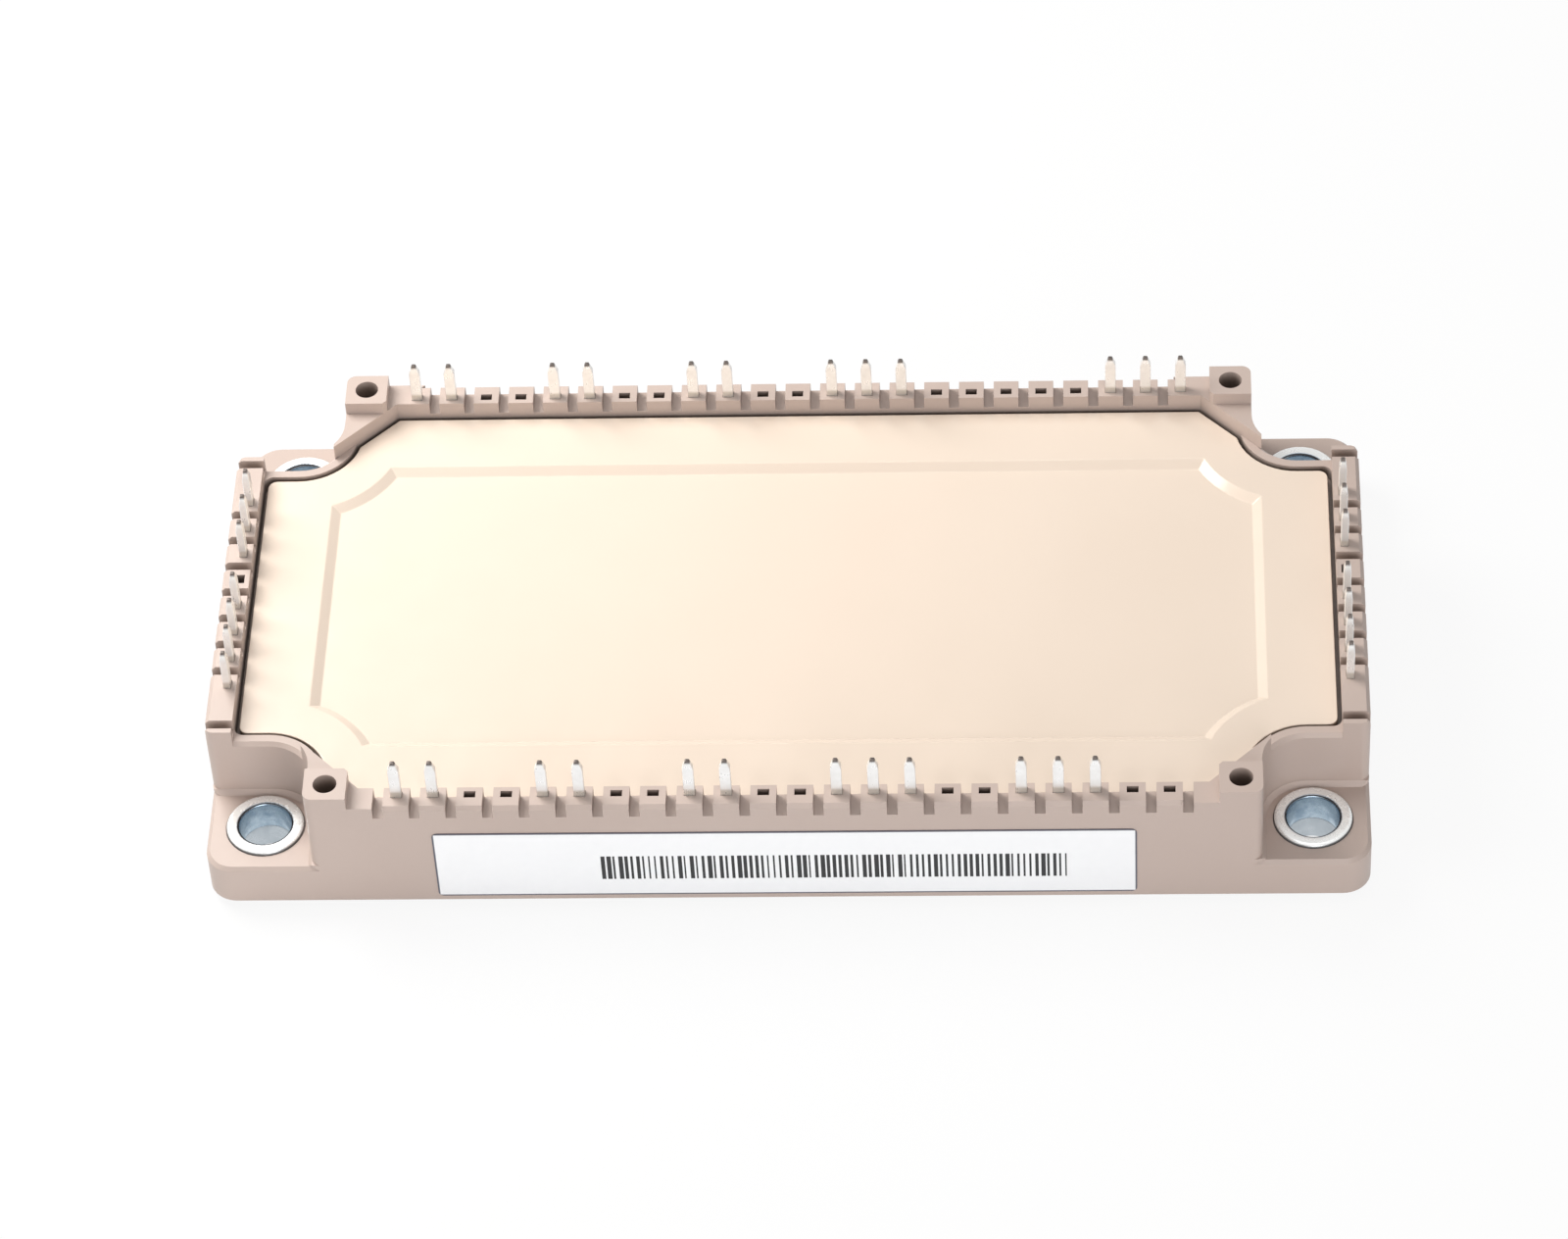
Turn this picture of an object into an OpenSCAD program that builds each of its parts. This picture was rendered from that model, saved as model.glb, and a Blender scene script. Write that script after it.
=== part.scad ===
// Power semiconductor module: a moulded frame on a metal base plate, a lid, four screw
// bushings, rows of flat solder terminals, and the circuit that they connect.
// Millimetres. X runs along the module, Z is up, the origin is the centre of the underside.

/* [Frame] */
// Length of the moulded frame
body_l = 122; // [120:0.5:128]
// Width of the moulded frame
body_w = 62; // [60:0.5:68]
// Height of the frame's lower edge above the underside of the base plate
frame_z = 1; // [0.5:0.1:2]
// Height of the top of the screw flanges
flange_z = 6; // [5.2:0.1:6.4]
// Height of the rim round the lid
rim_z = 13.6; // [12.5:0.1:15]
// Radius of the frame's outer corners
corner_r = 3; // [1.5:0.5:4]
// Radius of the small upright edges
edge_r = 1; // [0.3:0.1:1.2]
// Size of the bevel along the frame's top edges
bevel = 0.4; // [0.2:0.1:0.6]
// Width of the rim beside the lid at the screw corners
rim_w = 1.3; // [0.8:0.1:1.6]
// Width of the seat that the lid rests on
seat_w = 1.2; // [0.8:0.1:1.6]
// Height of the inner ledge that carries the terminals' feet
ledge_z = 6.5; // [6:0.1:7.5]
// Width of that ledge along the long sides
ledge_w = 4; // [3:0.1:4.5]
// Thickness of the wall between a screw corner and the inner window
web_t = 3; // [2.5:0.1:4]

/* [Screw corners] */
// Distance from a screw hole's axis to both outer faces
hole_inset = 6; // [5.5:0.1:6.5]
// Diameter of the screw holes
hole_d = 5.5; // [4.5:0.1:6]
// Distance from that axis to the corner's wall along the module
recess_side = 5.4; // [5.2:0.1:5.8]
// Distance from that axis to the corner's wall across the module
recess_back = 4.8; // [4.8:0.1:5.4]
// Radius of the hollow between those two walls
recess_r = 4.8; // [3:0.1:5.5]
// Size of the sloping foot where the walls meet the flange
foot_bevel = 0.5; // [0.2:0.1:0.5]
// Outer diameter of a bushing
bush_d = 8.3; // [7.6:0.1:8.3]
// Height of a bushing's top above its flange
bush_rise = 0.4; // [0.3:0.1:0.8]
// Size of the bevels round a bushing's top
bush_bevel = 0.3; // [0.1:0.05:0.4]
// Diameter of a bushing's lower collar
collar_d = 9.4; // [8.8:0.1:10]
// Height of a bushing's lower collar
collar_h = 1; // [0.6:0.1:1.6]
// Radial clearance round a bushing
bush_gap = 0.05; // [0.02:0.01:0.1]

/* [Board bosses] */
// Length of a boss along the module
boss_l = 4.5; // [3.8:0.1:5]
// Width of a boss across the module
boss_w = 4.3; // [3.8:0.1:5]
// Height of a boss above the rim
boss_rise = 3.4; // [2.5:0.1:4]
// Diameter of a boss's screw hole
boss_hole_d = 2.5; // [2:0.1:2.6]
// Depth of a boss's screw hole
boss_hole_depth = 8; // [6:0.5:9]
// Length of the corner pillar under a boss, measured from the long outer face
pillar_l = 8.4; // [7.8:0.1:9]

/* [Terminal combs] */
// Distance between neighbouring terminals
pitch = 3.81; // [3.7:0.01:3.85]
// Height of the combs above the rim
comb_rise = 1.85; // [1.5:0.05:2.4]
// Height of the notch floors above the rim
notch_rise = 0.35; // [0.2:0.05:0.8]
// Width of a notch between two teeth
notch_w = 1.1; // [0.8:0.1:1.5]
// Depth of the long combs
comb_d = 2.9; // [2.8:0.1:3.4]
// Depth of the end combs
end_comb_d = 2.9; // [2.8:0.1:3.4]
// Least thickness of the wall beyond an end comb's last notch
end_wall = 0.4; // [0.2:0.1:0.5]
// Depth of the slots that hold no terminal
spare_slot_depth = 5; // [3:0.5:6]

/* [Terminals] */
// Width of a terminal
pin_w = 1.15; // [0.8:0.05:1.4]
// Thickness of a terminal
pin_t = 0.8; // [0.6:0.05:1]
// Height of the terminals' tips above the rim
pin_rise = 6.9; // [5.5:0.1:9]
// Distance from a terminal's middle to the outer face
pin_inset = 1.95; // [1.8:0.05:2.05]
// Length of the tapered tip
tip_l = 1.1; // [0.6:0.1:1.5]
// Width and thickness of the tip's end
tip_w = 0.4; // [0.3:0.05:0.5]
// Clearance round a terminal in its slot
pin_gap = 0.03; // [0.02:0.01:0.06]
// Distance from a terminal's foot to the inner window
foot_setback = 0.8; // [0.5:0.1:1.2]

/* [Lid] */
// Thickness of the lid
lid_t = 1.5; // [1.2:0.1:2]
// Depth of the lid's face below the rim
lid_sink = 0.2; // [0:0.05:0.5]
// Clearance round the lid
lid_gap = 0.45; // [0.2:0.05:0.6]
// Distance from the lid's edge to the sunken panel
panel_margin = 7.2; // [6:0.1:8]
// Radius of the panel's hollow corners round those of the frame
panel_corner_r = 11; // [10:0.1:12]
// Depth of the sunken panel
panel_depth = 0.7; // [0.2:0.05:0.8]
// Width of the panel's sloping border
panel_slope_w = 1; // [0.6:0.1:1.4]
// Thickness of the rib under the lid
rib_t = 1; // [0.8:0.1:1.4]
// Height of the rib under the lid
rib_h = 1.2; // [0.8:0.1:1.6]

/* [Base plate] */
// Thickness of the base plate
base_t = 3; // [2.5:0.1:3.4]
// Thickness of the frame's skirt round the base plate
skirt_t = 1.3; // [1:0.1:1.6]
// Clearance round the base plate
base_gap = 0.1; // [0.05:0.05:0.2]

/* [Label] */
// Length of the label
label_l = 73.2; // [60:0.2:80]
// Height of the label
label_h = 9.8; // [8:0.1:10.5]
// Thickness of the label
label_t = 0.1; // [0.05:0.05:0.2]
// Distance from the frame's lower edge to the label
label_lift = 0.7; // [0.3:0.1:1]
// Radius of the label's corners
label_r = 0.6; // [0.3:0.1:1]

/* [Circuit] */
// Distance between the two substrates
substrate_gap = 0.8; // [0.5:0.1:1.2]
// Distance from a substrate to the inner window
substrate_margin = 0.6; // [0.4:0.1:1]
// Thickness of a ceramic plate
ceramic_t = 0.65; // [0.4:0.05:0.8]
// Thickness of the copper on each side of a ceramic plate
copper_t = 0.3; // [0.2:0.05:0.4]
// Bare border round the copper
copper_border = 1; // [0.7:0.1:1.2]
// Width of the grooves between copper tracks
groove_w = 0.9; // [0.6:0.1:1]
// Width of the copper track under the terminals' bonds
track_w = 2.7; // [2.5:0.1:3]
// Thickness of a chip with its solder
chip_t = 0.3; // [0.2:0.05:0.4]
// Side of a switching chip
switch_l = 9; // [8:0.1:9.4]
// Length of a freewheeling diode chip
diode_l = 8; // [7:0.1:9]
// Width of a freewheeling diode chip
diode_w = 5.4; // [5:0.1:5.6]
// Side of a rectifier diode chip
rectifier_l = 8; // [7:0.1:9]
// Gap between neighbouring chips
chip_gap = 0.6; // [0.4:0.1:0.8]
// Distance from a rectifier chip to its island's outer edge
rectifier_inset = 3.2; // [2:0.1:4]
// Length of the thermistor
thermistor_l = 3.2; // [2:0.1:3.4]
// Width of the thermistor
thermistor_w = 1.6; // [1:0.1:1.8]
// Thickness of the thermistor
thermistor_t = 0.9; // [0.5:0.1:1.2]
// Width of a bond ribbon
ribbon_w = 1.2; // [0.8:0.1:1.6]
// Width of a terminal's bond ribbon
pin_ribbon_w = 0.8; // [0.5:0.1:1]
// Thickness of the bond ribbons
ribbon_t = 0.2; // [0.15:0.05:0.3]
// Distance from a chip's or terminal's edge to the middle of its bond
bond_inset = 1; // [0.8:0.1:1.3]
// Distance from a copper edge to where a bond comes down
landing_inset = 0.6; // [0.4:0.05:0.8]
// Space between the gel and the rib under the lid
gel_room = 0.5; // [0.2:0.1:0.8]

/* [Hidden] */
$fn = 64;
cut = 1;                                      // how far a cutting shape runs past a face

half_l = body_l / 2;
half_w = body_w / 2;
hole_x = half_l - hole_inset;                 // screw axes
hole_y = half_w - hole_inset;
recess_x = hole_x - recess_side;              // walls of the screw corners
recess_y = hole_y - recess_back;
hollow_x = recess_x + recess_r;               // axes of the hollows between those walls
hollow_y = recess_y + recess_r;
boss_x = recess_x - boss_l / 2;               // boss axes
boss_y = half_w - boss_w / 2;
diagonal = recess_x + half_w - pillar_l;      // a pillar's slanted face is where |x| + |y| is this
window_x = recess_x - web_t;                  // inner window over the base plate
window_y = half_w - comb_d - seat_w - ledge_w;
base_x = half_l - skirt_t - base_gap;
base_y = half_w - skirt_t - base_gap;

comb_z = rim_z + comb_rise;
notch_z = rim_z + notch_rise;
boss_z = rim_z + boss_rise;
pin_z = rim_z + pin_rise;
lid_z = rim_z - lid_sink;
seat_z = lid_z - lid_t;
foot_z = ledge_z + pin_t;
gel_z = seat_z - rib_h - gel_room;

// Each row counts its positions from the left, or from the back at the two ends.
// The long combs hold as many as fit between the bosses, the end combs as fit between two more notches.
back_count = floor(2 * (recess_x - boss_l) / pitch);
front_count = back_count - 1;
end_count = floor((2 * (recess_y - end_wall) - notch_w) / pitch) - 2;

// A long row's terminals: pairs and a trio from the left, and a last trio with some free places after it
long_places = [1, 2, 5, 6, 9, 10, 13, 14, 15];
front_free = 2;
back_free = 0;
end_free_place = 4;
function long_used(last) = concat([for (i = long_places) if (i < last - 2) i], [last - 2, last - 1, last]);
front_used = long_used(front_count - front_free);
back_used = long_used(back_count - back_free);
end_used = [for (i = [1 : end_count]) if (i != end_free_place) i];

// name, number of positions, positions with a terminal, places of the notches beyond the outer teeth
rows = [
    ["front", front_count, front_used, [0.5, front_count + 0.5]],
    ["back", back_count, back_used, []],
    ["left", end_count, end_used, [-0.5, end_count + 1.5]],
    ["right", end_count, end_used, [-0.5, end_count + 1.5]]
];
corners = [["front_left", -1, -1], ["front_right", 1, -1], ["back_left", -1, 1], ["back_right", 1, 1]];

function is_long(row) = row[0] == "front" || row[0] == "back";
function row_x(count, i) = (i - (count + 1) / 2) * pitch;
function row_half(row) = is_long(row) ? half_w : half_l;
function row_depth(row) = is_long(row) ? comb_d : end_comb_d;
function foot_reach(row) = row_half(row) - (is_long(row) ? window_y : window_x) - foot_setback;
function spare(row) = [for (i = [1 : row[1]]) if (len(search(i, row[2])) == 0) i];
function notch_places(row) = concat([for (i = [1 : row[1] - 1]) i + 0.5], row[3]);

// Substrates, each centred on one half of the window
substrate_l = window_x - substrate_margin - substrate_gap / 2;
substrate_w = 2 * (window_y - substrate_margin);
substrate_x = (substrate_l + substrate_gap) / 2;
ceramic_z = base_t + copper_t;
copper_z = ceramic_z + ceramic_t;
chip_z = copper_z + copper_t;
chip_top = chip_z + chip_t;
copper_l = substrate_l - 2 * copper_border;
copper_w = substrate_w - 2 * copper_border;
island_w = (copper_w - 3 * groove_w) / 2 - track_w;          // one island, counted across the module
island_far = groove_w / 2 + island_w;
track_y = island_far + groove_w + track_w / 2;
inverter_pitch = copper_l / 3;
rectifier_pitch = copper_l / 4;
switch_y = island_far - chip_gap - switch_l / 2;
diode_y = switch_y - (switch_l + diode_w) / 2 - chip_gap;
rectifier_y = island_far - rectifier_inset - rectifier_l / 2;
landing_near = groove_w / 2 + landing_inset;                 // where bonds come down in the middle
landing_far = island_far + groove_w + landing_inset;         // and on the tracks

// Chips as [x, y] centres
inverter_xs = [for (i = [-1 : 1]) substrate_x + i * inverter_pitch];
rectifier_xs = [for (i = [0 : 2]) -substrate_x + (i - 1.5) * rectifier_pitch];
brake_x = -substrate_x + 1.5 * rectifier_pitch;
switches = concat([for (x = inverter_xs, s = [-1, 1]) [x, s * switch_y]], [[brake_x, rectifier_y]]);
diodes = concat([for (x = inverter_xs, s = [-1, 1]) [x, s * diode_y]], [[brake_x, -rectifier_y]]);
rectifiers = [for (x = rectifier_xs, s = [-1, 1]) [x, s * rectifier_y]];

plastic_colour = [0.93, 0.87, 0.79];
lid_colour = [0.97, 0.92, 0.84];
nickel_colour = [0.78, 0.79, 0.8];
steel_colour = [0.66, 0.71, 0.76];
tin_colour = [0.88, 0.88, 0.86];
copper_colour = [0.8, 0.48, 0.33];

// ---- Outlines and placing

module at_corners()
    for (x = [0, 1], y = [0, 1])
        mirror([x, 0, 0])
            mirror([0, y, 0])
                children();

// Puts what is drawn outwards from the front face, with y running inwards, on one side
module on_side(row) {
    if (row[0] == "front")
        translate([0, -half_w, 0]) children();
    if (row[0] == "back")
        mirror([0, 1, 0]) translate([0, -half_w, 0]) children();
    if (row[0] == "left")
        rotate([0, 0, -90]) translate([0, -half_l, 0]) children();
    if (row[0] == "right")
        mirror([1, 0, 0]) rotate([0, 0, -90]) translate([0, -half_l, 0]) children();
}

module rounded_rect(l, w, r) {
    square([l - 2 * r, w], center = true);
    square([l, w - 2 * r], center = true);
    for (x = [-1, 1], y = [-1, 1])
        translate([x * (l / 2 - r), y * (w / 2 - r)])
            circle(r);
}

// Cross-shaped plan with hollow corners at the screws
module cross_plan(inset, x, y) {
    rounded_rect(2 * (recess_x - inset), 2 * y, edge_r);
    rounded_rect(2 * x, 2 * (recess_y - inset), edge_r);
    at_corners()
        difference() {
            translate([recess_x - inset - cut, recess_y - inset - cut])
                square(recess_r + inset + cut);
            translate([hollow_x, hollow_y])
                circle(recess_r + inset);
        }
}

// The corner outside a pillar's slanted face, moved inwards by a gap
module pillar_corner(gap = 0) {
    reach = pillar_l + gap * sqrt(2) + 2 * cut;
    translate([recess_x + cut, half_w + cut])
        polygon([[0, 0], [-reach, 0], [0, -reach]]);
}

// Plan of the lid's pocket, less a gap all round
module lid_plan(gap) {
    difference() {
        cross_plan(rim_w + gap, half_l - end_comb_d - gap, half_w - comb_d - gap);
        at_corners()
            pillar_corner(gap);
    }
}

// ---- Frame

module flange_block() {
    l = body_l - 2 * corner_r;
    w = body_w - 2 * corner_r;
    h = flange_z - frame_z - bevel;
    translate([0, 0, frame_z])
        linear_extrude(h)
            rounded_rect(body_l, body_w, corner_r);
    translate([0, w / 2, frame_z + h])
        rotate([90, 0, 0])
            linear_extrude(w)
                polygon([[-half_l, 0], [half_l, 0], [half_l - bevel, bevel], [-half_l + bevel, bevel]]);
    translate([-l / 2, 0, frame_z + h])
        rotate([90, 0, 90])
            linear_extrude(l)
                polygon([[-half_w, 0], [half_w, 0], [half_w - bevel, bevel], [-half_w + bevel, bevel]]);
    at_corners()
        translate([l / 2, w / 2, frame_z + h])
            cylinder(h = bevel, r1 = corner_r, r2 = corner_r - bevel);
}

// The part of the frame's plan inside what is drawn in it
module frame_plan() {
    intersection() {
        cross_plan(0, half_l, half_w);
        children();
    }
}

module boss_plan()
    frame_plan()
        at_corners()
            translate([boss_x + cut / 2, boss_y + cut / 2])
                square([boss_l + cut, boss_w + cut], center = true);

module pillar_plan()
    frame_plan()
        at_corners()
            pillar_corner();

// A comb before its notches, with its outer top edge bevelled
module comb_bar(row) {
    l = is_long(row) ? 2 * boss_x : 2 * (recess_y + cut);
    d = row_depth(row);
    low = rim_z - cut;
    translate([-l / 2, 0, 0])
        rotate([90, 0, 90])
            linear_extrude(l)
                polygon([[0, low], [d, low], [d, comb_z], [bevel, comb_z], [0, comb_z - bevel]]);
}

module combs() {
    intersection() {
        for (row = rows)
            on_side(row)
                comb_bar(row);
        translate([0, 0, rim_z - cut])
            linear_extrude(comb_rise + cut)
                cross_plan(0, half_l, half_w);
    }
}

module notches(row) {
    for (i = notch_places(row))
        translate([row_x(row[1], i) - notch_w / 2, -cut, notch_z])
            cube([notch_w, row_depth(row) + 2 * cut, comb_z - notch_z + cut]);
}

// Upright slot, and the tunnel that its foot runs through to the ledge
module terminal_slot(row) {
    w = pin_w + 2 * pin_gap;
    y = pin_inset - pin_t / 2 - pin_gap;
    translate([-w / 2, y, ledge_z])
        cube([w, pin_t + 2 * pin_gap, comb_z - ledge_z + cut]);
    translate([-w / 2, y, ledge_z])
        cube([w, foot_reach(row) - y, pin_t + pin_gap]);
}

module spare_slot() {
    w = pin_w + 2 * pin_gap;
    t = pin_t + 2 * pin_gap;
    translate([-w / 2, pin_inset - t / 2, comb_z - spare_slot_depth])
        cube([w, t, spare_slot_depth + cut]);
}

// Space over the screw corners that widens by its own height h, above walls moved outwards by inset
module recess_flare(inset, h) {
    r = recess_r + inset;
    over = hole_inset + recess_r + cut;
    at_corners()
        translate([hollow_x, hollow_y, 0]) {
            cylinder(h = h, r1 = r, r2 = r + h);
            rotate([90, 0, 90])
                linear_extrude(over)
                    polygon([[-r, 0], [over, 0], [over, h], [-r - h, h]]);
            translate([0, over, 0])
                rotate([90, 0, 0])
                    linear_extrude(over)
                        polygon([[-r, 0], [over, 0], [over, h], [-r - h, h]]);
        }
}

// The frame up to its rim, with the sloping feet and bevelled tops of the screw corners' walls
module frame_walls() {
    difference() {
        translate([0, 0, frame_z])
            linear_extrude(rim_z - frame_z)
                cross_plan(0, half_l, half_w);
        translate([0, 0, rim_z - bevel])
            recess_flare(0, bevel + cut);
    }
    translate([0, 0, flange_z])
        difference() {
            linear_extrude(foot_bevel)
                cross_plan(-foot_bevel, half_l, half_w);
            recess_flare(-foot_bevel, foot_bevel);
        }
}

module housing() {
    color(plastic_colour)
    difference() {
        union() {
            flange_block();
            frame_walls();
            combs();
            translate([0, 0, rim_z - cut])
                linear_extrude(comb_rise + cut)
                    pillar_plan();
            translate([0, 0, rim_z - cut])
                linear_extrude(boss_rise + cut)
                    boss_plan();
        }
        translate([0, 0, seat_z])
            linear_extrude(boss_z)
                lid_plan(0);
        translate([0, 0, ledge_z])
            linear_extrude(rim_z)
                lid_plan(seat_w);
        translate([-window_x, -window_y, 0])
            cube([2 * window_x, 2 * window_y, rim_z]);
        linear_extrude(base_t)
            rounded_rect(2 * (base_x + base_gap), 2 * (base_y + base_gap), corner_r - skirt_t);
        for (row = rows)
            on_side(row) {
                notches(row);
                for (i = row[2])
                    translate([row_x(row[1], i), 0, 0])
                        terminal_slot(row);
                for (i = spare(row))
                    translate([row_x(row[1], i), 0, 0])
                        spare_slot();
            }
        at_corners() {
            translate([hole_x, hole_y, 0]) {
                cylinder(h = flange_z + foot_bevel + cut, d = bush_d + 2 * bush_gap);
                cylinder(h = base_t + collar_h, d = collar_d + 2 * bush_gap);
            }
            translate([boss_x, boss_y, boss_z - boss_hole_depth])
                cylinder(h = boss_hole_depth + cut, d = boss_hole_d);
        }
    }
}

// ---- Lid, base plate, bushings and label

// Bar across the lid whose sides slope inwards to the panel's floor, half wide at the top
module panel_bar(half, l) {
    slope = panel_slope_w / panel_depth;
    rotate([90, 0, 90])
        linear_extrude(l, center = true)
            polygon([
                [-half + panel_slope_w, 0], [half - panel_slope_w, 0],
                [half + slope * cut, panel_depth + cut], [-half - slope * cut, panel_depth + cut]
            ]);
}

// The sunken panel: sloping on its four sides and round the four hollow corners
module panel_pocket() {
    slope = panel_slope_w / panel_depth;
    translate([0, 0, lid_z - panel_depth])
        difference() {
            intersection() {
                rotate([0, 0, 90])
                    panel_bar(half_l - end_comb_d - lid_gap - panel_margin, body_w);
                panel_bar(half_w - comb_d - lid_gap - panel_margin, body_l);
            }
            at_corners()
                translate([hollow_x, hollow_y, 0])
                    cylinder(
                        h = panel_depth + cut,
                        r1 = panel_corner_r + panel_slope_w,
                        r2 = panel_corner_r - slope * cut
                    );
        }
}

module lid() {
    color(lid_colour)
    difference() {
        union() {
            translate([0, 0, seat_z])
                linear_extrude(lid_t)
                    lid_plan(lid_gap);
            translate([0, 0, seat_z - rib_h])
                linear_extrude(rib_h + lid_t / 2)
                    difference() {
                        lid_plan(seat_w + lid_gap);
                        lid_plan(seat_w + lid_gap + rib_t);
                    }
        }
        panel_pocket();
    }
}

module baseplate() {
    color(nickel_colour)
    difference() {
        linear_extrude(base_t)
            rounded_rect(2 * base_x, 2 * base_y, corner_r - skirt_t - base_gap);
        at_corners()
            translate([hole_x, hole_y, -cut])
                cylinder(h = base_t + 2 * cut, d = hole_d);
    }
}

// A sleeve that stands on the base plate and takes the screw's force past the plastic
module bushing(corner) {
    inner = hole_d / 2;
    outer = bush_d / 2;
    h = flange_z + bush_rise - base_t;
    color(steel_colour)
    translate([corner[1] * hole_x, corner[2] * hole_y, base_t])
        rotate_extrude()
            polygon([
                [inner, 0], [collar_d / 2, 0], [collar_d / 2, collar_h], [outer, collar_h],
                [outer, h - bush_bevel], [outer - bush_bevel, h],
                [inner + bush_bevel, h], [inner, h - bush_bevel]
            ]);
}

module label() {
    color("white")
    translate([0, -half_w, frame_z + label_lift + label_h / 2])
        rotate([90, 0, 0])
            linear_extrude(label_t)
                rounded_rect(label_l, label_h, label_r);
}

// ---- Terminals

// Side view of a terminal, with y running inwards and z upwards
module terminal_profile(reach) {
    y = pin_inset - pin_t / 2;
    polygon([
        [y, foot_z], [y + pin_t, foot_z], [y + pin_t, pin_z - tip_l],
        [pin_inset + tip_w / 2, pin_z], [pin_inset - tip_w / 2, pin_z], [y, pin_z - tip_l]
    ]);
    translate([y + pin_t, ledge_z])
        square([reach - y - pin_t, pin_t]);
    intersection() {
        translate([y + pin_t, foot_z])
            circle(pin_t);
        translate([y, ledge_z])
            square(pin_t);
    }
}

// Bent strip: an upright blade with a tapered tip, and a foot that lies on the ledge
module terminal(row, i) {
    reach = foot_reach(row);
    half = pin_w / 2;
    color(tin_colour)
    on_side(row)
        translate([row_x(row[1], i), 0, 0])
            intersection() {
                translate([-half - cut, 0, 0])
                    rotate([90, 0, 90])
                        linear_extrude(pin_w + 2 * cut)
                            terminal_profile(reach);
                translate([0, reach + cut, 0])
                    rotate([90, 0, 0])
                        linear_extrude(reach + 2 * cut)
                            polygon([
                                [-half, ledge_z - cut], [half, ledge_z - cut], [half, pin_z - tip_l],
                                [tip_w / 2, pin_z], [-tip_w / 2, pin_z], [-half, pin_z - tip_l]
                            ]);
            }
}

// ---- Circuit inside

module ceramic(side) {
    color("white")
    translate([side * substrate_x, 0, ceramic_z + ceramic_t / 2])
        cube([substrate_l, substrate_w, ceramic_t], center = true);
}

module backing(side) {
    color(copper_colour)
    translate([side * substrate_x, 0, base_t + copper_t / 2])
        cube([copper_l, copper_w, copper_t], center = true);
}

// Upper copper: a track along each long edge, and islands in columns between them
module copper(side, columns) {
    column_l = copper_l / columns;
    color(copper_colour)
    translate([side * substrate_x, 0, copper_z])
        linear_extrude(copper_t) {
            for (s = [-1, 1])
                translate([0, s * track_y])
                    square([copper_l, track_w], center = true);
            for (s = [-1, 1], i = [0 : columns - 1])
                translate([(i - (columns - 1) / 2) * column_l, s * (groove_w + island_w) / 2])
                    square([column_l - groove_w, island_w], center = true);
        }
}

module chips(centres, l, w) {
    for (c = centres)
        translate([c[0] - l / 2, c[1] - w / 2, chip_z])
            cube([l, w, chip_t]);
}

module switch_chips()
    color("dimgray")
        chips(switches, switch_l, switch_l);

module diode_chips()
    color("slategray")
        chips(diodes, diode_l, diode_w);

module rectifier_chips()
    color("gray")
        chips(rectifiers, rectifier_l, rectifier_l);

// It bridges the groove beside a track, at the left end of the second island
module thermistor() {
    x = -substrate_x - rectifier_pitch + (groove_w + thermistor_w) / 2 + chip_gap;
    color("saddlebrown")
    translate([x, -island_far - groove_w / 2, chip_z + thermistor_t / 2])
        cube([thermistor_w, thermistor_l, thermistor_t], center = true);
}

// Half ring from y1 to y2 at height z, with a straight leg down at its second end
module bond(x, y1, y2, w, z, leg) {
    r = abs(y2 - y1) / 2;
    translate([x - w / 2, (y1 + y2) / 2, z])
        rotate([90, 0, 90])
            linear_extrude(w) {
                intersection() {
                    difference() {
                        circle(r + ribbon_t / 2);
                        circle(r - ribbon_t / 2);
                    }
                    translate([-r - cut, 0])
                        square([2 * (r + cut), r + cut]);
                }
                if (leg > 0)
                    translate([(y2 > y1 ? r : -r) - ribbon_t / 2, -leg])
                        square([ribbon_t, leg]);
            }
}

// Bond from a chip down to the copper
module chip_bond(x, y1, y2)
    bond(x, y1, y2, ribbon_w, chip_top, chip_t);

// Bond from the outer edge of a chip of width w to the track beside it
module track_bond(centre, w) {
    side = sign(centre[1]);
    chip_bond(centre[0], centre[1] + side * (w / 2 - bond_inset), side * landing_far);
}

// Bond from a terminal's foot down to the copper
module terminal_bond(row, x) {
    reach = foot_reach(row);
    edge = reach + foot_setback + substrate_margin + copper_border;
    bond(x, reach - bond_inset, edge + landing_inset, pin_ribbon_w, foot_z, foot_z - chip_z);
}

module bond_ribbons() {
    switch_edge = switch_y - switch_l / 2 + bond_inset;
    diode_edge = diode_w / 2 - bond_inset;
    color("gainsboro") {
        for (c = switches)
            track_bond(c, switch_l);
        for (c = rectifiers)
            track_bond(c, rectifier_l);
        track_bond([brake_x, -rectifier_y], diode_w);
        for (x = inverter_xs) {
            for (side = [-1, 1])
                bond(x, side * switch_edge, side * (diode_y + diode_edge), ribbon_w, chip_top, 0);
            chip_bond(x, diode_y - diode_edge, -landing_near);
        }
        for (x = rectifier_xs)
            chip_bond(x, rectifier_y - rectifier_l / 2 + bond_inset, -landing_near);
        for (row = rows)
            on_side(row)
                for (i = row[2])
                    terminal_bond(row, row_x(row[1], i));
    }
}

// Soft filling that covers the circuit
module gel() {
    color([0.95, 0.95, 0.9, 0.4])
    difference() {
        union() {
            translate([0, 0, ledge_z])
                linear_extrude(gel_z - ledge_z)
                    lid_plan(seat_w);
            translate([-window_x, -window_y, base_t])
                cube([2 * window_x, 2 * window_y, ledge_z - base_t]);
        }
        for (side = [-1, 1]) {
            ceramic(side);
            backing(side);
            copper(side, side < 0 ? 4 : 3);
        }
        switch_chips();
        diode_chips();
        rectifier_chips();
        thermistor();
        bond_ribbons();
        for (row = rows, i = row[2])
            terminal(row, i);
    }
}

// ---- The module

housing();
lid();
baseplate();
label();
for (c = corners)
    bushing(c);
for (row = rows, i = row[2])
    terminal(row, i);
ceramic(-1);  // ceramic_left
ceramic(1);  // ceramic_right
copper(-1, 4);  // copper_left
copper(1, 3);  // copper_right
backing(-1);  // backing_left
backing(1);  // backing_right
switch_chips();
diode_chips();
rectifier_chips();
thermistor();
bond_ribbons();
gel();
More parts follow.
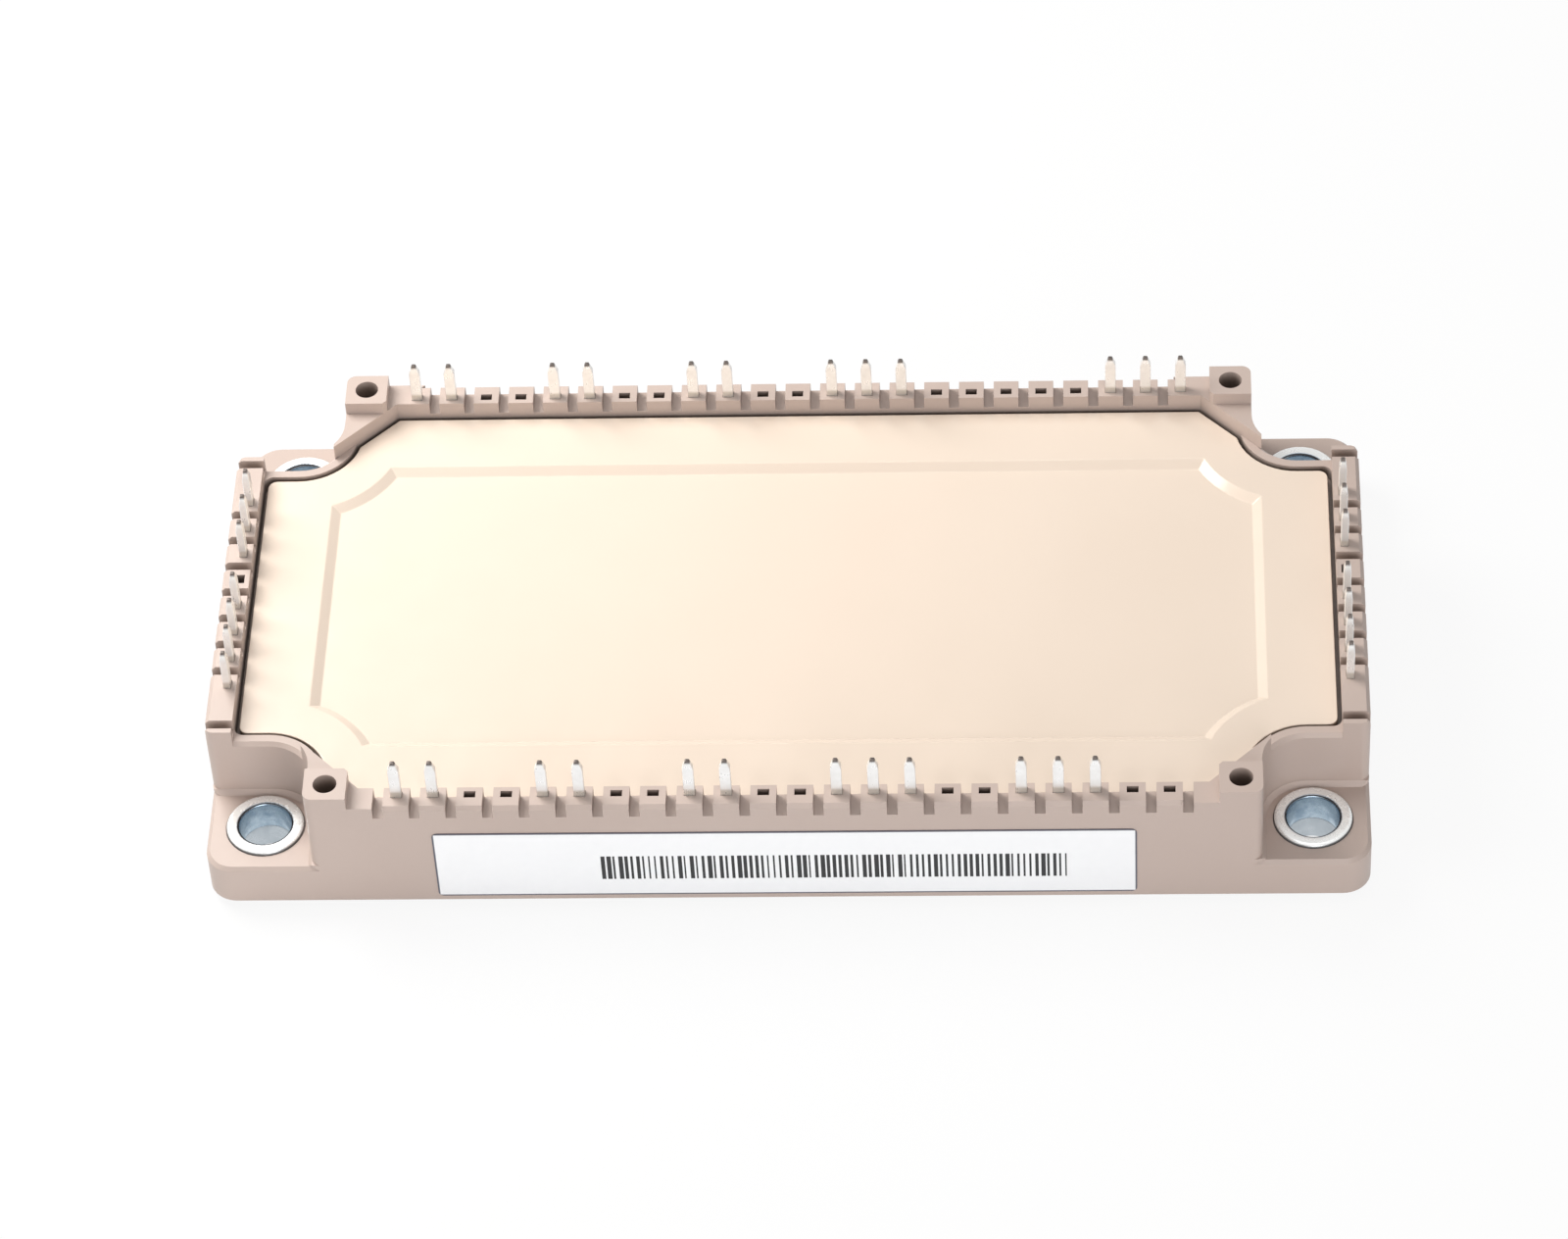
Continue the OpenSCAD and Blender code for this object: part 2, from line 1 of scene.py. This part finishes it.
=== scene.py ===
import bpy
import bmesh
import math
from mathutils import Matrix, Vector


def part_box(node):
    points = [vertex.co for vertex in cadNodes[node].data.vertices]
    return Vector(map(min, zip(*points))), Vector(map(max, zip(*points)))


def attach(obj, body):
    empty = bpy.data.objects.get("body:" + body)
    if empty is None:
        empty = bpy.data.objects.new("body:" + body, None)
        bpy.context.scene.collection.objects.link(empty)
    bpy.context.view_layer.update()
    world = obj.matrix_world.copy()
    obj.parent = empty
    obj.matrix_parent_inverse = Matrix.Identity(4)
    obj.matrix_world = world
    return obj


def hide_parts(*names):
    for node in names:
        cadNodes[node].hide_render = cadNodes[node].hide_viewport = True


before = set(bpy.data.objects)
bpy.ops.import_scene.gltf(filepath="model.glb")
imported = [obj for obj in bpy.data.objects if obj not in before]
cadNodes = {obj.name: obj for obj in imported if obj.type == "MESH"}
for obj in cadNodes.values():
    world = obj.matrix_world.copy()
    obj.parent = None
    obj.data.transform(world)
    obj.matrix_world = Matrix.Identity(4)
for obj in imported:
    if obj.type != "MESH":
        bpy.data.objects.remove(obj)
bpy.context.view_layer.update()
mm = 0.001
print("frame loaded:", len(cadNodes), "nodes")


# Camera and light

camera = {
    "place": (0.0345, -0.4473, 0.4915),  # metres
    "yaw": 4.52,  # degrees, turned left of straight on
    "pitch": -47.0,
    "roll": 3.84,
    "lens": 141.0,  # millimetres
    "sensor": 36.0,
    "clip": (0.01, 20.0),  # metres
}

lighting = {
    "sky": (1.0, 0.99, 0.98),
    "skyStrength": 0.27,
    "key": {"place": (-0.17, 0.10, 0.20), "size": 0.20, "power": 0.90, "colour": (1.0, 0.985, 0.955)},
    "fill": {"place": (0.02, 0.06, 0.60), "size": 0.40, "power": 0.55, "colour": (0.98, 0.985, 1.0)},
    "low": {"place": (0.10, -0.50, 0.15), "size": 0.40, "power": 1.5, "colour": (0.98, 0.985, 1.0)},
    "floorColour": (0.86, 0.86, 0.86),
    "floorWhite": 0.90,  # how far the floor goes to plain white for the eye
    "floorGap": 0.05 * mm,  # the floor lies just clear of the base plate
    "floorReach": 3.0,  # metres from the middle to each side
}


def aimAt(place, target):
    return (Vector(target) - Vector(place)).to_track_quat("-Z", "Y").to_matrix().to_4x4()


def addCamera():
    data = bpy.data.cameras.new("camera")
    data.lens = camera["lens"]
    data.sensor_width = camera["sensor"]
    data.clip_start, data.clip_end = camera["clip"]
    eye = bpy.data.objects.new("camera", data)
    bpy.context.scene.collection.objects.link(eye)
    turn = Matrix.Rotation(math.radians(camera["yaw"]), 4, "Z")
    turn = turn @ Matrix.Rotation(math.radians(camera["pitch"]), 4, "X")
    turn = turn @ Matrix.Rotation(math.radians(camera["roll"]), 4, "Y")
    turn = turn @ Matrix.Rotation(math.radians(90.0), 4, "X")
    eye.matrix_world = Matrix.Translation(camera["place"]) @ turn
    bpy.context.scene.camera = eye


def addLamp(name, look):
    data = bpy.data.lights.new(name, "AREA")
    data.shape = "DISK"
    data.size = look["size"]
    data.energy = look["power"]
    data.color = look["colour"]
    lamp = bpy.data.objects.new(name, data)
    bpy.context.scene.collection.objects.link(lamp)
    lamp.matrix_world = Matrix.Translation(look["place"]) @ aimAt(look["place"], (0, 0, 0))


# Node helpers

def addNode(tree, kind, settings=None, inputs=None):
    node = tree.nodes.new(kind)
    for key, value in (settings or {}).items():
        setattr(node, key, value)
    for key, value in (inputs or {}).items():
        node.inputs[key].default_value = value
    return node


def newMaterial(name, roughness=0.4, metallic=0.0):
    material = bpy.data.materials.new(name)
    material.use_nodes = True
    tree = material.node_tree
    shader = tree.nodes["Principled BSDF"]
    shader.inputs["Roughness"].default_value = roughness
    shader.inputs["Metallic"].default_value = metallic
    coords = addNode(tree, "ShaderNodeTexCoord").outputs["Object"]
    return material, tree, shader, coords


def doMath(tree, operation, first, second=None, clamp=False):
    node = addNode(tree, "ShaderNodeMath", {"operation": operation, "use_clamp": clamp})
    for index, value in enumerate((first, second)):
        if value is None:
            continue
        if isinstance(value, (int, float)):
            node.inputs[index].default_value = value
        else:
            tree.links.new(value, node.inputs[index])
    return node.outputs[0]


def scaled(tree, coords, scale):
    node = addNode(tree, "ShaderNodeMapping", {}, {"Scale": scale})
    tree.links.new(coords, node.inputs["Vector"])
    return node.outputs["Vector"]


def noise(tree, coords, scale, detail, roughness=0.5):
    node = addNode(tree, "ShaderNodeTexNoise", {},
                   {"Scale": scale, "Detail": detail, "Roughness": roughness})
    tree.links.new(coords, node.inputs["Vector"])
    return node.outputs["Fac"]


def remap(tree, value, low, high, newLow=0.0, newHigh=1.0):
    node = addNode(tree, "ShaderNodeMapRange", {"clamp": True},
                   {"From Min": low, "From Max": high, "To Min": newLow, "To Max": newHigh})
    tree.links.new(value, node.inputs["Value"])
    return node.outputs["Result"]


def blendColours(tree, factor, first, second):
    node = addNode(tree, "ShaderNodeMix", {"data_type": "RGBA"})
    tree.links.new(factor, node.inputs[0])
    for index, value in ((6, first), (7, second)):  # the places of the two colours on this node
        if isinstance(value, tuple):
            node.inputs[index].default_value = (*value, 1.0)
        else:
            tree.links.new(value, node.inputs[index])
    return node.outputs[2]


def addBump(tree, shader, layers):
    # each layer is a height and how many metres it stands for
    normal = None
    for height, depth in layers:
        node = addNode(tree, "ShaderNodeBump", {}, {"Strength": 1.0, "Distance": depth})
        tree.links.new(height, node.inputs["Height"])
        if normal is not None:
            tree.links.new(normal, node.inputs["Normal"])
        normal = node.outputs["Normal"]
    tree.links.new(normal, shader.inputs["Normal"])


def axisOf(tree, coords, axis):
    node = addNode(tree, "ShaderNodeSeparateXYZ")
    tree.links.new(coords, node.inputs[0])
    return node.outputs[axis]


def within(tree, value, low, high, soft):
    rise = remap(tree, value, low - soft, low + soft)
    fall = remap(tree, value, high - soft, high + soft, 1.0, 0.0)
    return doMath(tree, "MULTIPLY", rise, fall)


# Moulded plastic of the frame and the lid

plastics = {
    "frame": {
        "colour": (0.532, 0.430, 0.380),
        "cloud": (0.512, 0.410, 0.360),  # the tint of faint clouds and specks in the plastic
        # the colour of the painted shade in crevices
        "paintedShade": (0.150, 0.115, 0.098),
        "paintedShadeReach": 3.0 * mm,
        "paintedShadeLimit": (0.60, 0.12),  # openness below which painted shade starts on a wall and on a floor
        "roughness": (0.34, 0.44),
        "grain": 0.0012 * mm,
        "waviness": 0.020 * mm,
    },
    "lid": {
        "colour": (0.800, 0.675, 0.565),
        "cloud": (0.785, 0.660, 0.550),
        # the colour of the painted shade in crevices
        "paintedShade": (0.100, 0.070, 0.050),
        "paintedShadeReach": 1.2 * mm,
        "paintedShadeLimit": (0.50, 0.30),
        "roughness": (0.16, 0.24),
        "grain": 0.0008 * mm,
        "waviness": 0.030 * mm,
    },
}


mouldPattern = {
    "clouds": 55.0,  # how often this noise and the next four repeat in a metre
    "speckle": 1900.0,
    "gloss": 240.0,
    "waves": 130.0,
    "grain": 7000.0,
    "speckleShare": 0.25,
    "fullShadeOpenness": 0.05,  # openness at which the painted shade is full
}


def mouldedPlastic(name, look):
    pattern = mouldPattern
    material, tree, shader, coords = newMaterial(name)
    clouds = remap(tree, noise(tree, coords, pattern["clouds"], 4.0), 0.35, 0.68)
    speckle = noise(tree, coords, pattern["speckle"], 2.0)
    speckle = remap(tree, speckle, 0.30, 0.70, 0.0, pattern["speckleShare"])
    body = blendColours(tree, clouds, look["colour"], look["cloud"])
    body = blendColours(tree, speckle, body, look["cloud"])
    # painted shade: walls go dark where little opens before them, and floors that face up only where they are
    # deep down
    corner = addNode(tree, "ShaderNodeAmbientOcclusion", {"samples": 12},
                     {"Distance": look["paintedShadeReach"]})
    facing = addNode(tree, "ShaderNodeTexCoord").outputs["Normal"]
    level = doMath(tree, "ABSOLUTE", axisOf(tree, facing, "Z"))
    limit = remap(tree, level, 0.0, 1.0, *look["paintedShadeLimit"])
    depth = doMath(tree, "DIVIDE", doMath(tree, "SUBTRACT", limit, corner.outputs["AO"]),
                   doMath(tree, "SUBTRACT", limit, pattern["fullShadeOpenness"]), True)
    tree.links.new(blendColours(tree, depth, body, look["paintedShade"]), shader.inputs["Base Color"])
    gloss = remap(tree, noise(tree, coords, pattern["gloss"], 3.0), 0.3, 0.7, *look["roughness"])
    tree.links.new(gloss, shader.inputs["Roughness"])
    addBump(tree, shader, [
        (noise(tree, coords, pattern["waves"], 2.0), look["waviness"]),
        (noise(tree, coords, pattern["grain"], 2.0), look["grain"]),
    ])
    return material


# Metals

metals = {  # lines has its small number along the way that the surface was drawn or rolled
    "tin": {
        "colour": (0.93, 0.925, 0.915), "dull": (0.86, 0.85, 0.835), "roughness": (0.26, 0.36),
        "patches": 900.0, "lines": (9000, 9000, 500), "lineDepth": 0.001 * mm,
    },
    "zinc": {
        "colour": (0.48, 0.58, 0.66), "dull": (0.28, 0.38, 0.48), "roughness": (0.16, 0.34),
        "patches": 700.0, "lines": (1500, 1500, 1500), "lineDepth": 0.003 * mm,
    },
    "nickel": {
        "colour": (0.54, 0.59, 0.63), "dull": (0.42, 0.47, 0.51), "roughness": (0.24, 0.38),
        "patches": 300.0, "lines": (300, 9000, 9000), "lineDepth": 0.003 * mm,
    },
    "copper": {
        "colour": (0.80, 0.42, 0.27), "dull": (0.58, 0.30, 0.20), "roughness": (0.26, 0.45),
        "patches": 300.0, "lines": (3000, 3000, 3000), "lineDepth": 0.002 * mm,
    },
    "bond": {
        "colour": (0.86, 0.87, 0.88), "dull": (0.74, 0.75, 0.77), "roughness": (0.20, 0.34),
        "patches": 900.0, "lines": (9000, 900, 900), "lineDepth": 0.002 * mm,
    },
}


def metal(name):
    look = metals[name]
    material, tree, shader, coords = newMaterial(name, 0.3, 1.0)
    patches = remap(tree, noise(tree, coords, look["patches"], 4.0, 0.6), 0.35, 0.70)
    colour = blendColours(tree, patches, look["colour"], look["dull"])
    streaks = noise(tree, scaled(tree, coords, look["lines"]), 1.0, 3.0, 0.6)
    gloss = remap(tree, doMath(tree, "ADD", patches, streaks), 0.4, 1.4, *look["roughness"])
    tree.links.new(gloss, shader.inputs["Roughness"])
    addBump(tree, shader, [(streaks, look["lineDepth"])])
    return material, tree, shader, coords, colour


bladeLook = {  # heights are measured down from the tip
    "darkTip": (0.42 * mm, 0.15 * mm),  # the last part below the tip is dark
    "darkTipColour": (0.12, 0.10, 0.09),
    "paintedRootSpan": (4.0 * mm, 4.4 * mm),  # painted reflection of the beige comb and painted shade, where the blade leaves the comb
    "paintedRootColour": (0.42, 0.37, 0.29),
    "paintedRootShare": 0.6,
    "metallic": 0.55,  # matt tin scatters much of the light
}


def tinnedMetal(tipHeight):
    look = bladeLook
    material, tree, shader, coords, colour = metal("tin")
    shader.inputs["Metallic"].default_value = look["metallic"]
    below = doMath(tree, "SUBTRACT", tipHeight, axisOf(tree, coords, "Z"))
    # darker at the tip
    darkTipMask = remap(tree, below, look["darkTip"][1], look["darkTip"][0], 1.0, 0.0)
    # painted reflection of the comb and painted shade near the blade's root
    paintedRootMask = remap(tree, below, *look["paintedRootSpan"], 0.0, look["paintedRootShare"])
    colour = blendColours(tree, paintedRootMask, colour, look["paintedRootColour"])
    tree.links.new(blendColours(tree, darkTipMask, colour, look["darkTipColour"]), shader.inputs["Base Color"])
    return material


zincLook = {  # distances are from the axis of the bore
    "rim": (2.95 * mm, 3.10 * mm),  # painted highlight: the top of the rolled rim is brighter and less metallic
    "rimColour": (0.93, 0.94, 0.93),
    "rimMetallic": 0.45,
    "innerEdgeShade": (2.80 * mm, 2.98 * mm),  # painted shade along the inner edge, as along the outer edge
    # painted shade on the outer wall of the rim
    "outerEdgeShade": (4.02 * mm, 4.10 * mm),
    "outerShade": 0.9,
    "soft": 0.03 * mm,
    "edgeShadeColour": (0.06, 0.06, 0.065),
}


def zincPlate(axisX, axisY):
    look = zincLook
    material, tree, shader, coords, colour = metal("zinc")
    folded = addNode(tree, "ShaderNodeVectorMath", {"operation": "ABSOLUTE"})
    tree.links.new(coords, folded.inputs[0])
    centred = addNode(tree, "ShaderNodeVectorMath", {"operation": "SUBTRACT"})
    centred.inputs[1].default_value = (axisX, axisY, 0.0)
    tree.links.new(folded.outputs[0], centred.inputs[0])
    flat = scaled(tree, centred.outputs[0], (1.0, 1.0, 0.0))
    reach = addNode(tree, "ShaderNodeVectorMath", {"operation": "LENGTH"})
    tree.links.new(flat, reach.inputs[0])
    out = reach.outputs["Value"]
    # painted highlight on the top of the rim
    rim = remap(tree, out, *look["rim"])
    # painted shade along the inner and the outer edge of the rim
    shaded = within(tree, out, *look["innerEdgeShade"], look["soft"])
    shaded = doMath(tree, "MAXIMUM", shaded, remap(tree, out, *look["outerEdgeShade"], 0.0, look["outerShade"]))
    colour = blendColours(tree, rim, colour, look["rimColour"])
    tree.links.new(remap(tree, rim, 0.0, 1.0, 1.0, look["rimMetallic"]), shader.inputs["Metallic"])
    tree.links.new(blendColours(tree, shaded, colour, look["edgeShadeColour"]), shader.inputs["Base Color"])
    return material


def plainMetal(name):
    material, tree, shader, coords, colour = metal(name)
    tree.links.new(colour, shader.inputs["Base Color"])
    return material


# Label film with a plain field of bars

labelLook = {
    "film": (0.940, 0.945, 0.955),
    "fibre": (0.80, 0.81, 0.83),
    "edge": (0.110, 0.110, 0.140),  # a dark band along the border of the film
    "ink": (0.012, 0.012, 0.014),
    "edgeWidth": 0.18 * mm,
    "edgeSoft": 0.04 * mm,
    "roughness": 0.32,
    "fibres": 900.0,  # how often they repeat in a metre
    "fibreShare": 0.12,
    "waves": 160.0,
    "waveDepth": 0.01 * mm,  # how uneven the film lies
    "barsFrom": (-19.3 * mm, 4.2 * mm),  # lowest place across and up
    "barsTo": (29.3 * mm, 7.8 * mm),
    "barStep": 0.62 * mm,  # one bar in each step, from thin to thick by chance
    "barShare": (0.26, 0.80),
    "barSoft": 0.02 * mm,
}


def printedFilm(lowest, highest):
    look = labelLook
    material, tree, shader, coords = newMaterial("labelFilm", look["roughness"])
    across = axisOf(tree, coords, "X")
    up = axisOf(tree, coords, "Z")
    steps = doMath(tree, "DIVIDE", across, look["barStep"])
    chance = addNode(tree, "ShaderNodeTexWhiteNoise", {"noise_dimensions": "1D"})
    tree.links.new(doMath(tree, "FLOOR", steps), chance.inputs["W"])
    share = remap(tree, chance.outputs["Value"], 0.0, 1.0, *look["barShare"])
    bars = doMath(tree, "LESS_THAN", doMath(tree, "FRACT", steps), share)
    for value, axis in ((across, 0), (up, 1)):
        inField = within(tree, value, look["barsFrom"][axis], look["barsTo"][axis], look["barSoft"])
        bars = doMath(tree, "MULTIPLY", bars, inField)
    edge = look["edgeWidth"]
    innerAcross = within(tree, across, lowest[0] + edge, highest[0] - edge, look["edgeSoft"])
    innerUp = within(tree, up, lowest[2] + edge, highest[2] - edge, look["edgeSoft"])
    inner = doMath(tree, "MULTIPLY", innerAcross, innerUp)
    fibres = remap(tree, noise(tree, coords, look["fibres"], 3.0), 0.3, 0.7, 0.0, look["fibreShare"])
    film = blendColours(tree, fibres, look["film"], look["fibre"])
    film = blendColours(tree, inner, look["edge"], film)
    tree.links.new(blendColours(tree, bars, film, look["ink"]), shader.inputs["Base Color"])
    addBump(tree, shader, [(noise(tree, coords, look["waves"], 2.0), look["waveDepth"])])
    return material


# What is closed in under the lid

insides = {
    "ceramic": {
        "colour": (0.86, 0.86, 0.83), "second": (0.78, 0.78, 0.76),
        "roughness": 0.55, "metallic": 0.0, "scale": 2500.0,
    },
    "chip": {
        "colour": (0.36, 0.38, 0.42), "second": (0.27, 0.30, 0.36),
        "roughness": 0.22, "metallic": 0.8, "scale": 600.0,
    },
    "thermistor": {
        "colour": (0.13, 0.08, 0.06), "second": (0.20, 0.13, 0.10),
        "roughness": 0.50, "metallic": 0.0, "scale": 2500.0,
    },
    "gel": {
        "colour": (0.97, 0.97, 0.95), "second": (0.92, 0.92, 0.89),
        "roughness": 0.08, "ior": 1.41, "clear": 0.9, "scale": 120.0,
    },
}


grainDepth = 0.002 * mm


def innerMaterial(name, look):
    material, tree, shader, coords = newMaterial(name, look["roughness"], look["metallic"])
    grain = noise(tree, coords, look["scale"], 4.0)
    tree.links.new(blendColours(tree, remap(tree, grain, 0.3, 0.7), look["colour"], look["second"]),
                   shader.inputs["Base Color"])
    addBump(tree, shader, [(grain, grainDepth)])
    return material


def gelMaterial(look):
    material, tree, shader, coords = newMaterial("gel", look["roughness"])
    shader.inputs["IOR"].default_value = look["ior"]
    shader.inputs["Transmission Weight"].default_value = look["clear"]
    haze = remap(tree, noise(tree, coords, look["scale"], 3.0), 0.3, 0.7)
    tree.links.new(blendColours(tree, haze, look["colour"], look["second"]), shader.inputs["Base Color"])
    return material


# Pieces

rounding = {  # radius of the small edges, and how many faces make each
    "frameMoulding": {"radius": 0.10 * mm, "segments": 2},
    "lidMoulding": {"radius": 0.10 * mm, "segments": 2},
    "basePlate": {"radius": 0.15 * mm, "segments": 2},
    "blade": {"radius": 0.07 * mm, "segments": 2},
}
sharpAngle = math.radians(25.0)  # edges that turn by more are rounded
foldAngle = math.radians(50.0)  # faces that turn by more don't share their shading
flatAngle = math.radians(0.5)  # triangles that turn by less become one face
mergeReach = 0.002 * mm


def finishPiece(name, mesh, material, replaced):
    mesh.materials.clear()
    mesh.materials.append(material)
    piece = bpy.data.objects.new(name, mesh)
    bpy.context.scene.collection.objects.link(piece)
    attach(piece, "root")
    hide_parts(replaced)


def flatNormals(shape):
    # large faces keep their own direction, and the small rounded ones between them lead from one to the next
    weighted = {face: face.normal * face.calc_area() for face in shape.faces}
    limit = math.cos(foldAngle)
    normals = []
    for face in shape.faces:
        for loop in face.loops:
            total = Vector()
            for near in loop.vert.link_faces:
                if near.normal.dot(face.normal) > limit:
                    total += weighted[near]
            normals.append(total.normalized())
    return normals


def roundedCopy(name, node, look, material):
    # the same shape with its edges broken as a mould or a press leaves them
    shape = bmesh.new()
    shape.from_mesh(cadNodes[node].data)
    bmesh.ops.remove_doubles(shape, verts=shape.verts, dist=mergeReach)
    bmesh.ops.dissolve_limit(shape, angle_limit=flatAngle, verts=shape.verts, edges=shape.edges)
    sharp = [edge for edge in shape.edges if edge.calc_face_angle(0.0) > sharpAngle]
    bmesh.ops.bevel(shape, geom=sharp, offset=look["radius"], offset_type="OFFSET", segments=look["segments"],
                    profile=0.5, affect="EDGES", clamp_overlap=True, material=-1)
    for face in shape.faces:
        face.smooth = True
    mesh = bpy.data.meshes.new(name)
    shape.to_mesh(mesh)
    normals = flatNormals(shape)
    shape.free()
    mesh.normals_split_custom_set(normals)
    finishPiece(name, mesh, material, node)


sleeve = {
    "bore": 2.75 * mm,  # radius
    "outer": 4.15 * mm,
    "collarHeight": 1.0 * mm,
    "lip": 0.30 * mm,  # roll of the rim towards the bore
    "outerLip": 0.38 * mm,
    "steps": 96,
    "arcSteps": 6,
}


def screwSleeve(name, node, material):
    low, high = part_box(node)
    middle = (Vector(low) + Vector(high)) / 2
    collar = (high[0] - low[0]) / 2
    bore = sleeve["bore"]
    outer = sleeve["outer"]
    lip = sleeve["lip"]
    outerLip = sleeve["outerLip"]
    collarTop = low[2] + sleeve["collarHeight"]
    profile = [(bore, low[2]), (collar, low[2]), (collar, collarTop), (outer, collarTop)]
    for step in range(sleeve["arcSteps"] + 1):
        turn = math.pi / 2 * step / sleeve["arcSteps"]
        profile.append((outer - outerLip * (1 - math.cos(turn)), high[2] - outerLip * (1 - math.sin(turn))))
    for step in range(sleeve["arcSteps"] + 1):
        turn = math.pi / 2 * (1 - step / sleeve["arcSteps"])
        profile.append((bore + lip * (1 - math.cos(turn)), high[2] - lip * (1 - math.sin(turn))))
    shape = bmesh.new()
    ring = [shape.verts.new((middle.x + reach, middle.y, height)) for reach, height in profile]
    edges = [shape.edges.new((ring[i], ring[(i + 1) % len(ring)])) for i in range(len(ring))]
    bmesh.ops.spin(shape, geom=ring + edges, cent=(middle.x, middle.y, 0), axis=(0, 0, 1),
                   angle=2 * math.pi, steps=sleeve["steps"], use_merge=True)
    bmesh.ops.recalc_face_normals(shape, faces=shape.faces)
    for face in shape.faces:
        face.smooth = True
    mesh = bpy.data.meshes.new(name)
    shape.to_mesh(mesh)
    shape.free()
    mesh.set_sharp_from_angle(angle=foldAngle)
    finishPiece(name, mesh, material, node)


# Floor and backdrop

def seenDirectly(tree):
    # rays from the eye, from gloss and through clear stuff see plain white instead of the lit sky or floor
    path = addNode(tree, "ShaderNodeLightPath")
    direct = doMath(tree, "MAXIMUM", path.outputs["Is Camera Ray"], path.outputs["Is Glossy Ray"])
    return doMath(tree, "MAXIMUM", direct, path.outputs["Is Transmission Ray"])


def addSky():
    world = bpy.data.worlds.new("studio")
    bpy.context.scene.world = world
    world.use_nodes = True
    tree = world.node_tree
    tree.nodes.clear()
    lit = addNode(tree, "ShaderNodeBackground", {},
                  {"Color": (*lighting["sky"], 1.0), "Strength": lighting["skyStrength"]})
    seen = addNode(tree, "ShaderNodeBackground", {}, {"Color": (1.0, 1.0, 1.0, 1.0), "Strength": 1.0})
    choice = addNode(tree, "ShaderNodeMixShader")
    output = addNode(tree, "ShaderNodeOutputWorld")
    tree.links.new(seenDirectly(tree), choice.inputs[0])
    tree.links.new(lit.outputs[0], choice.inputs[1])
    tree.links.new(seen.outputs[0], choice.inputs[2])
    tree.links.new(choice.outputs[0], output.inputs["Surface"])


def addFloor():
    shape = bmesh.new()
    bmesh.ops.create_grid(shape, x_segments=1, y_segments=1, size=lighting["floorReach"])
    for corner in shape.verts:
        corner.co.z = -lighting["floorGap"]
    mesh = bpy.data.meshes.new("floor")
    shape.to_mesh(mesh)
    shape.free()
    material = bpy.data.materials.new("floor")
    material.use_nodes = True
    tree = material.node_tree
    tree.nodes.clear()
    matt = addNode(tree, "ShaderNodeBsdfDiffuse", {}, {"Color": (*lighting["floorColour"], 1.0)})
    white = addNode(tree, "ShaderNodeEmission", {}, {"Color": (1.0, 1.0, 1.0, 1.0), "Strength": 1.0})
    choice = addNode(tree, "ShaderNodeMixShader")
    output = addNode(tree, "ShaderNodeOutputMaterial")
    tree.links.new(doMath(tree, "MULTIPLY", seenDirectly(tree), lighting["floorWhite"]), choice.inputs[0])
    tree.links.new(matt.outputs[0], choice.inputs[1])
    tree.links.new(white.outputs[0], choice.inputs[2])
    # from below the floor is clear, so that the underside can be seen
    clear = addNode(tree, "ShaderNodeBsdfTransparent")
    side = addNode(tree, "ShaderNodeMixShader")
    tree.links.new(addNode(tree, "ShaderNodeNewGeometry").outputs["Backfacing"], side.inputs[0])
    tree.links.new(choice.outputs[0], side.inputs[1])
    tree.links.new(clear.outputs[0], side.inputs[2])
    tree.links.new(side.outputs[0], output.inputs["Surface"])
    mesh.materials.append(material)
    floor = bpy.data.objects.new("floor", mesh)
    bpy.context.scene.collection.objects.link(floor)


# Everything together

addCamera()
addSky()
addFloor()
for lampName in ("key", "fill", "low"):
    addLamp(lampName, lighting[lampName])
bpy.context.scene.view_settings.view_transform = "Standard"
print("camera, floor and light set")

framePlastic = mouldedPlastic("framePlastic", plastics["frame"])
lidPlastic = mouldedPlastic("lidPlastic", plastics["lid"])
bushingLow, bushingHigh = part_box("bushing_back_right")
bladeLow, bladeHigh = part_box("terminal_front_1")
labelLow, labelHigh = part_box("label")
zinc = zincPlate((bushingLow[0] + bushingHigh[0]) / 2, (bushingLow[1] + bushingHigh[1]) / 2)
tin = tinnedMetal(bladeHigh[2])
nickel = plainMetal("nickel")
copper = plainMetal("copper")
bondMetal = plainMetal("bond")
film = printedFilm(labelLow, labelHigh)
print("materials made")

roundedCopy("frameMoulding", "housing", rounding["frameMoulding"], framePlastic)
roundedCopy("lidMoulding", "lid", rounding["lidMoulding"], lidPlastic)
roundedCopy("basePlate", "baseplate", rounding["basePlate"], nickel)
for node in sorted(cadNodes):
    if node.startswith("terminal_"):
        roundedCopy(node.replace("terminal", "blade"), node, rounding["blade"], tin)
    elif node.startswith("bushing_"):
        screwSleeve(node.replace("bushing", "sleeve"), node, zinc)
print("moulded and metal pieces made")

keptNodes = {
    "label": film,
    "ceramic": innerMaterial("ceramic", insides["ceramic"]),
    "copper": copper,
    "backing": copper,
    "switch_chips": innerMaterial("chip", insides["chip"]),
    "thermistor": innerMaterial("thermistor", insides["thermistor"]),
    "bond_ribbons": bondMetal,
    "gel": gelMaterial(insides["gel"]),
}
keptNodes["diode_chips"] = keptNodes["rectifier_chips"] = keptNodes["switch_chips"]
for node, shown in sorted(cadNodes.items()):
    for start, material in keptNodes.items():
        if node.startswith(start):
            for place in shown.material_slots:
                place.material = material
print("inner pieces and label finished")
